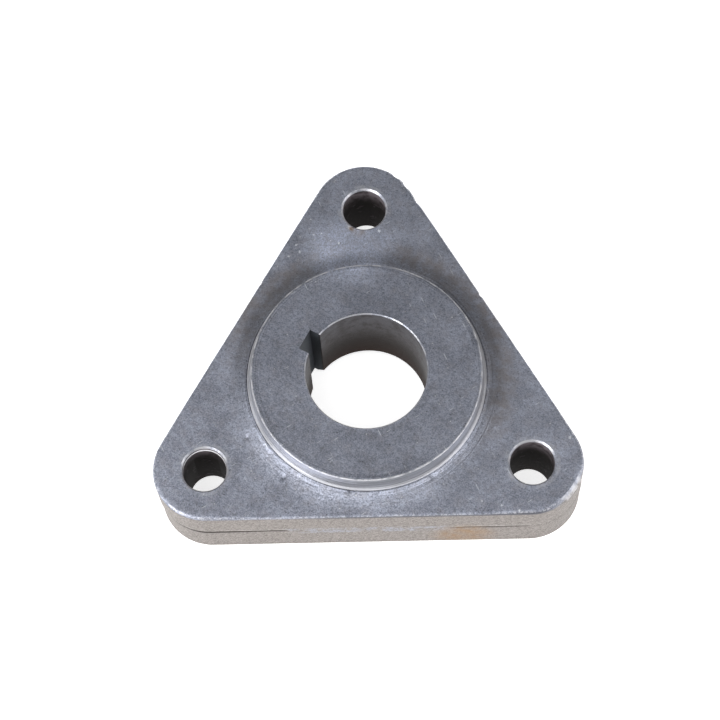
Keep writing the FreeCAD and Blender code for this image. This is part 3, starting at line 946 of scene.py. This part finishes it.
insideFinish = {
    "boreTop": (0.115, 0.112, 0.126, 1),
    "boreDeep": (0.032, 0.024, 0.022, 1),
    "boreFoot": (0.052, 0.031, 0.024, 1),   # oil that ran down and dried
    "boreReach": (0.52, 0.32),              # off the floor of the keyway
    "boreLevel": (-0.24, -0.34),            # over the boss
    "boreHeight": (7.0, 21.0),              # over the back, as the two heights below
    "borePatches": (0.4, 0.7, 0.0, 0.6),
    "footHeight": (10.0, 1.0, 0.0, 0.85),
    "oilHeight": (15.0, 2.0, 0.1, 0.85),
    "keyway": (0.085, 0.095, 0.11, 1),
    "keyReach": (0.08, 0.48),               # off the bore
    "keyDull": 0.4,
    "holeDark": (0.014, 0.009, 0.008, 1),
    "holeLight": (0.19, 0.165, 0.18, 1),    # where the scale is thin
    "holeReach": (0.17, 0.07),              # off the hole
    "holeLevel": (-0.4, -0.8),              # over the flange
    "holeDull": 0.9,
    "thinLevel": (-7.0, -0.8),              # over the flange
    "thinPatches": (0.35, 0.6, 0.2, 1.0),
    "barePatches": (0.55, 0.75, 0.0, 0.6),
    "lipReach": (-0.05, -0.13),             # off the hole
    "lipLevel": (-0.25, -0.1),              # over the lip
}


# bore, keyway and bolt holes, dark with old oil and scale; the bore wall is also painted darker towards the
# bottom as shade
def addInside(tree, at, colour):
    f = insideFinish
    inBore = addMath(tree, "MULTIPLY",
                     addStep(tree, at["offKey"], *f["boreReach"]),
                     addStep(tree, at["overBoss"], *f["boreLevel"]))
    # painted shade: the bore wall grows darker towards the bottom
    wall = addMix(tree, addStep(tree, at["height"], *f["boreHeight"]), f["boreDeep"], f["boreTop"])
    wall = addMix(tree, addStep(tree, at["patch"], *f["borePatches"]), wall, f["boreDeep"])
    wall = addMix(tree, addStep(tree, at["height"], *f["footHeight"]), wall, f["boreFoot"])
    colour = addMix(tree, inBore, colour, wall)
    inKeyway = addMath(tree, "MULTIPLY", inBore, addStep(tree, at["offBore"], *f["keyReach"]))
    colour = addMix(tree, inKeyway, colour, f["keyway"])
    inHole = addMath(tree, "MULTIPLY",
                     addStep(tree, at["offHole"], *f["holeReach"]),
                     addStep(tree, at["overTop"], *f["holeLevel"]))
    thin = addMath(tree, "MULTIPLY",
                   addStep(tree, at["overTop"], *f["thinLevel"]),
                   addStep(tree, at["patch"], *f["thinPatches"]))
    thin = addMath(tree, "MAXIMUM", thin, addStep(tree, at["patch"], *f["barePatches"]))
    colour = addMix(tree, inHole, colour, addMix(tree, thin, f["holeDark"], f["holeLight"]))
    lip = addMath(tree, "MULTIPLY",
                  addStep(tree, at["offHole"], *f["lipReach"]),
                  addStep(tree, at["overLip"], *f["lipLevel"]))
    at["scale"] = addMath(tree, "MAXIMUM",
                          addMath(tree, "MULTIPLY", inHole, f["holeDull"]),
                          addMath(tree, "MULTIPLY", inBore, addStep(tree, at["height"], *f["oilHeight"])),
                          addMath(tree, "MULTIPLY", inKeyway, f["keyDull"]))
    return addMix(tree, lip, colour, iron["bright"])


# rubbed metal and the turned wall are smoother than the skin, scale and oil are duller
def addSheen(tree, at, shader):
    f = bossFinish
    sideDull = addMath(tree, "MULTIPLY", at["bossSide"], f["sideDull"])
    dull = addMath(tree, "MAXIMUM", at["scale"], at["seamAndShadow"], sideDull)
    feed(tree, shader.inputs["Metallic"], addMath(tree, "SUBTRACT", 1.0, dull))
    shader.inputs["Specular IOR Level"].default_value = iron["specular"]
    smoother = addMath(tree, "MULTIPLY", addBand(tree, at["offBoss"], *f["ring"]), f["ringSmoother"])
    rough = addMath(tree, "SUBTRACT", addStep(tree, at["grain"], *iron["grainRough"]), smoother)
    rough = addBlend(tree, at["bossSide"], rough, iron["turnedRough"])
    rough = addBlend(tree, at["rubbed"], rough, iron["rubbedRough"])
    feed(tree, shader.inputs["Roughness"], addBlend(tree, at["scale"], rough, iron["dirtRough"]))


# fine grain of the skin, and tool marks on the ring round the boss
def addRelief(tree, at, shader):
    grain = addNode(tree, "Bump")
    grain.inputs["Distance"].default_value = iron["grainHeight"]
    feed(tree, grain.inputs["Strength"], addStep(tree, at["bossSide"], 0.0, 1.0, *iron["grainStrength"]))
    feed(tree, grain.inputs["Height"], at["grain"])
    toolMarks = addNode(tree, "Bump")
    toolMarks.inputs["Distance"].default_value = iron["toolMarkHeight"]
    feed(tree, toolMarks.inputs["Strength"], addBand(tree, at["offBoss"], *bossFinish["toolMarks"]))
    feed(tree, toolMarks.inputs["Height"], at["streak"])
    feed(tree, toolMarks.inputs["Normal"], grain.outputs["Normal"])
    feed(tree, shader.inputs["Normal"], toolMarks.outputs["Normal"])


def makeIron():
    material = bpy.data.materials.new("castIronSkin")
    material.use_nodes = True
    tree = material.node_tree
    shader = tree.nodes["Principled BSDF"]
    at = addPlaces(tree)
    colour = addBoss(tree, at, addSkin(tree, at))
    colour = addMix(tree, addStep(tree, at["overTop"], *rimFinish["level"]), colour, addRim(tree, at))
    colour = addRust(tree, at, addEdges(tree, at, colour))
    feed(tree, shader.inputs["Base Color"], addInside(tree, at, colour))
    addSheen(tree, at, shader)
    addRelief(tree, at, shader)
    print("iron mixed,", len(tree.nodes), "nodes")
    return material


studio = {
    "floorSize": 8.0,
    "floorColour": (0.86, 0.86, 0.86, 1),
    "floorRough": 0.9,
    "floorLift": 0.75,          # glow of the floor where it is seen, also in reflections
    "wallLight": 0.85,          # of the white walls round the table
    "roomLight": 0.2,           # of the room above them
    "wallTop": (0.3, 0.55),     # sine of the height where the walls end
}


def makeFloor():
    deselectAll()
    bpy.ops.mesh.primitive_plane_add(size=studio["floorSize"])
    floor = bpy.context.object
    floor.name = "floor"
    material = bpy.data.materials.new("paleFloor")
    material.use_nodes = True
    tree = material.node_tree
    shader = tree.nodes["Principled BSDF"]
    shader.inputs["Base Color"].default_value = studio["floorColour"]
    shader.inputs["Roughness"].default_value = studio["floorRough"]
    shader.inputs["Emission Color"].default_value = (1, 1, 1, 1)
    path = addNode(tree, "LightPath").outputs
    seen = addMath(tree, "MAXIMUM",
                   path["Is Camera Ray"], path["Is Glossy Ray"], path["Is Transmission Ray"])
    feed(tree, shader.inputs["Emission Strength"], addMath(tree, "MULTIPLY", seen, studio["floorLift"]))
    floor.data.materials.append(material)


# each lamp: degrees round from the camera (to its right), degrees up, metres away, metres across, watts
lamps = {
    "overheadLeft": (-58, 67, 0.9, 0.7, 3.3),
    "frontLeft": (-52, 28, 0.7, 0.4, 3.1),
    "overheadRight": (68, 61, 0.85, 0.36, 1.2),
    "frontRight": (70, 25, 0.7, 0.34, 0.8),
}

photoView = {
    "azimuth": 33.10,       # degrees round from -Y
    "elevation": 68.23,
    "roll": -4.14,
    "right": -1.908 * mm,   # of the origin, along the image
    "up": 10.338 * mm,
    "distance": 459.93 * mm,
    "lens": 105.6,          # millimetres, as the sensor
    "sensor": 36,
    "nearest": 0.01,        # metres, what the camera still sees
}


def makeLights():
    for name, (around, up, distance, across, power) in lamps.items():
        angle = math.radians(photoView["azimuth"] + around - 90)
        rise = math.radians(up)
        place = (turned(angle) * math.cos(rise) + Vector((0, 0, math.sin(rise)))) * distance
        bpy.ops.object.light_add(type="AREA", location=place)
        lamp = bpy.context.object
        lamp.name = name
        lamp.rotation_euler = place.to_track_quat("Z", "Y").to_euler()
        lamp.data.shape = "SQUARE"
        lamp.data.size = across
        lamp.data.energy = power
    world = bpy.data.worlds.new("studio")
    bpy.context.scene.world = world
    world.use_nodes = True
    tree = world.node_tree
    split = addNode(tree, "SeparateXYZ")
    feed(tree, split.inputs["Vector"], addNode(tree, "TexCoord").outputs["Generated"])
    glow = addStep(tree, split.outputs["Z"], *studio["wallTop"], studio["wallLight"], studio["roomLight"])
    background = tree.nodes["Background"]
    background.inputs["Color"].default_value = (1, 1, 1, 1)
    feed(tree, background.inputs["Strength"], glow)
    print("lights placed")


def makeCamera():
    view = photoView
    turn = Matrix.Rotation(math.radians(view["azimuth"]), 4, "Z")
    tilt = Matrix.Rotation(math.radians(90 - view["elevation"]), 4, "X")
    roll = Matrix.Rotation(math.radians(view["roll"]), 4, "Z")
    back = Matrix.Translation((view["right"], view["up"], view["distance"]))
    bpy.ops.object.camera_add()
    camera = bpy.context.object
    camera.name = "photoCamera"
    camera.matrix_world = turn @ tilt @ roll @ back
    camera.data.lens = view["lens"]
    camera.data.sensor_width = view["sensor"]
    camera.data.clip_start = view["nearest"]
    bpy.context.scene.camera = camera
    print("camera placed")


adapter = makeCasting()
adapter.data.materials.clear()
adapter.data.materials.append(makeIron())
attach(adapter, "root")
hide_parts("blade_adapter")
makeFloor()
makeLights()
makeCamera()
bpy.context.scene.view_settings.view_transform = "Standard"
